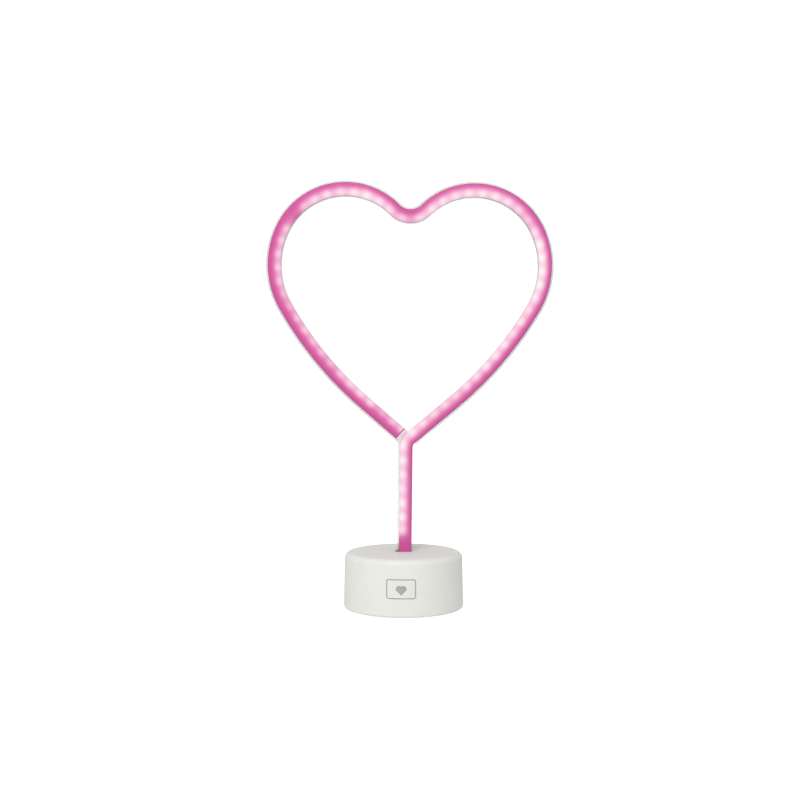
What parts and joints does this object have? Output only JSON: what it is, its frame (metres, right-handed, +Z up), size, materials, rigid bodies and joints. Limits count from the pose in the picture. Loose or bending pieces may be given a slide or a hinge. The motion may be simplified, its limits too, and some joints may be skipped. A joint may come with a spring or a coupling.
{
  "type": "heart-shaped LED table lamp",
  "caption": "Heart outline of glowing LED neon-effect strip on a slim stem, standing on a round white battery base.",
  "frame": {"origin": "on the table, under the middle of the heart's width and of the base's depth", "axes": "+Z up, -Y towards the viewer in front, +X to the viewer's right"},
  "size_m": [0.2032, 0.0846, 0.3012],
  "materials": {
    "shell_white": "fine satin moulded",
    "cover_white": "fine spark-eroded",
    "silicone_pink": "soft satin, translucent, lit from inside",
    "channel_clear": "clear, slightly milky, polished",
    "tape_white": "white solder mask with yellow-tinted LEDs",
    "plated_steel": "nickel plated",
    "board_green": "green solder mask",
    "dark_plastic": "satin",
    "pad_grey": "matt",
    "cell_can": "printed sleeve over a metal can",
    "lead_red": "PVC insulation",
    "lead_black": "PVC insulation"
  },
  "bodies": {
    "lamp": {"backing_channel": "channel_clear", "neon_sleeve": "silicone_pink", "led_tape": "tape_white", "sleeve_end_cap": "silicone_pink", "sleeve_foot_cap": "silicone_pink", "base_shell": "shell_white", "bottom_cover": "cover_white", "battery_cell_1": "cell_can", "battery_cell_2": "cell_can", "battery_cell_3": "cell_can", "contact_plus": "plated_steel", "contact_minus": "plated_steel", "contact_link_1": "plated_steel", "contact_link_2": "plated_steel", "stem_clamp": "cover_white", "circuit_board": "board_green", "usb_socket": "plated_steel", "usb_tongue": "dark_plastic", "switch_case": "plated_steel", "limit_resistor": "dark_plastic", "supply_diode": "dark_plastic", "battery_lead_red": "lead_red", "battery_lead_black": "lead_black", "lamp_lead_red": "lead_red", "lamp_lead_black": "lead_black", "case_screw_1": "plated_steel", "foot_pad_1": "pad_grey", "case_screw_2": "plated_steel", "foot_pad_2": "pad_grey", "case_screw_3": "plated_steel", "foot_pad_3": "pad_grey", "case_screw_4": "plated_steel", "foot_pad_4": "pad_grey", "board_screw_1": "plated_steel", "clamp_screw_1": "plated_steel", "board_screw_2": "plated_steel", "clamp_screw_2": "plated_steel"},
    "door": {"battery_door": "cover_white"},
    "knob": {"switch_knob": "dark_plastic"}
  },
  "joints": [
    {"name": "door_hinge", "type": "hinge", "parent": "lamp", "child": "door", "pos_m": [-0.00442, -0.0282, 0.0009], "axis": [-1, 0, 0], "range_deg": [0, 75]},
    {"name": "switch_slide", "type": "slide", "parent": "lamp", "child": "knob", "axis": [1, 0, 0], "range_m": [0, 0.0025]}
  ]
}
